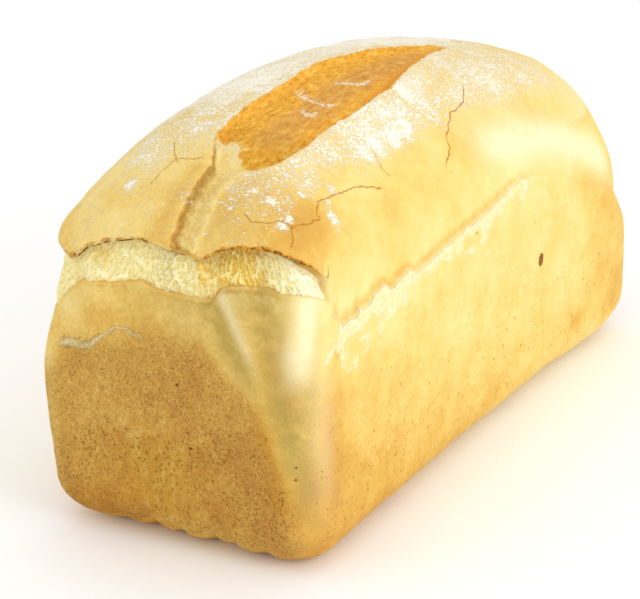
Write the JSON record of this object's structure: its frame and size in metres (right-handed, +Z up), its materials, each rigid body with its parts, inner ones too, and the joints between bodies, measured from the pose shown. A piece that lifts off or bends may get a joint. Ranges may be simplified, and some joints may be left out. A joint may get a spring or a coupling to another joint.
{
  "type": "tin loaf",
  "caption": "White bread loaf baked in an open tin: flat base, straight walls, domed floured crown split by a long slash, and a torn band under the crown's edge at one end.",
  "frame": {"origin": "middle of the loaf's box at the height of its flat base", "axes": "+Z up, Y along the loaf with the torn end at -Y, X across it"},
  "size_m": [0.1172, 0.2536, 0.1424],
  "materials": {
    "crust": "matte baked crust, floured on the crown"
  },
  "bodies": {
    "root": {"loaf": "crust"}
  },
  "joints": []
}
